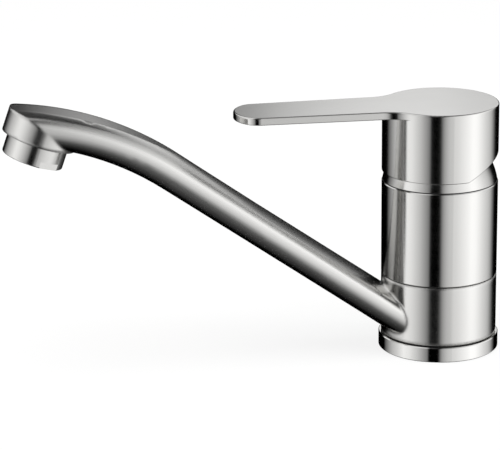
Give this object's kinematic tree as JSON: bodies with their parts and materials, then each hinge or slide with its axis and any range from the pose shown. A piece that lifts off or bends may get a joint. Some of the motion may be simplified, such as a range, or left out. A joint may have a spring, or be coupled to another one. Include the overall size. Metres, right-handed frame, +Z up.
{
  "type": "sink mixer tap",
  "caption": "Low single-lever sink mixer with a flat paddle handle and a swivelling oval spout that rises straight and bends over to a tilted nozzle.",
  "frame": {"origin": "centre of the body's underside, on the deck", "axes": "+Z up along the body's axis, spout and lever point along -Y"},
  "size_m": [0.054, 0.2217, 0.1207],
  "materials": {
    "base_ring_steel": "brushed round",
    "body_steel": "brushed round",
    "dome_steel": "brushed round",
    "lever_steel": "brushed",
    "spout_steel": "brushed along the arm",
    "aerator_steel": "satin",
    "pin_steel": "ground",
    "screen_steel": "woven",
    "gasket_rubber": "matt",
    "seal_rubber": "greased",
    "slip_ring_plastic": "moulded",
    "cartridge_plastic": "moulded",
    "rotor_plastic": "moulded",
    "ceramic": "lapped ceramic",
    "nut_brass": "turned",
    "stem_brass": "turned",
    "plug_plastic": "satin grey",
    "insert_plastic": "moulded"
  },
  "bodies": {
    "base": {"base_ring": "base_ring_steel", "base_gasket": "gasket_rubber", "valve_body": "body_steel", "lower_slip_ring": "slip_ring_plastic", "upper_slip_ring": "slip_ring_plastic", "lower_swivel_seal": "seal_rubber", "upper_swivel_seal": "seal_rubber", "cartridge_base": "cartridge_plastic", "cartridge_seals": "seal_rubber", "fixed_disc": "ceramic", "cartridge_housing": "cartridge_plastic", "cartridge_nut": "nut_brass", "dome_ring": "dome_steel", "dome_seal": "slip_ring_plastic"},
    "spout": {"spout": "spout_steel", "aerator_washer": "seal_rubber", "aerator_shell": "aerator_steel", "aerator_insert": "insert_plastic", "aerator_screen": "screen_steel"},
    "rotor": {"cartridge_rotor": "rotor_plastic", "pivot_pin": "pin_steel"},
    "lever": {"stem": "stem_brass", "lever_handle": "lever_steel", "set_screw": "pin_steel", "index_plug": "plug_plastic"},
    "disc": {"disc_carrier": "rotor_plastic", "moving_disc": "ceramic"}
  },
  "joints": [
    {"name": "spout_swivel", "type": "hinge", "parent": "base", "child": "spout", "pos_m": [0, 0, 0.02], "axis": [0, 0, 1], "continuous": true},
    {"name": "lever_turn", "type": "hinge", "parent": "base", "child": "rotor", "pos_m": [0, 0, 0.074], "axis": [0, 0, 1], "range_deg": [-50, 50]},
    {"name": "lever_lift", "type": "hinge", "parent": "rotor", "child": "lever", "pos_m": [0, 0, 0.074], "axis": [-1, 0, 0], "range_deg": [0, 25]},
    {"name": "disc_slide", "type": "slide", "parent": "rotor", "child": "disc", "axis": [0, -1, 0], "range_m": [0, 0.006]}
  ],
  "couplings": [
    {"joint": "disc_slide", "follows": "lever_lift", "m_per_rad": 0.01356}
  ]
}
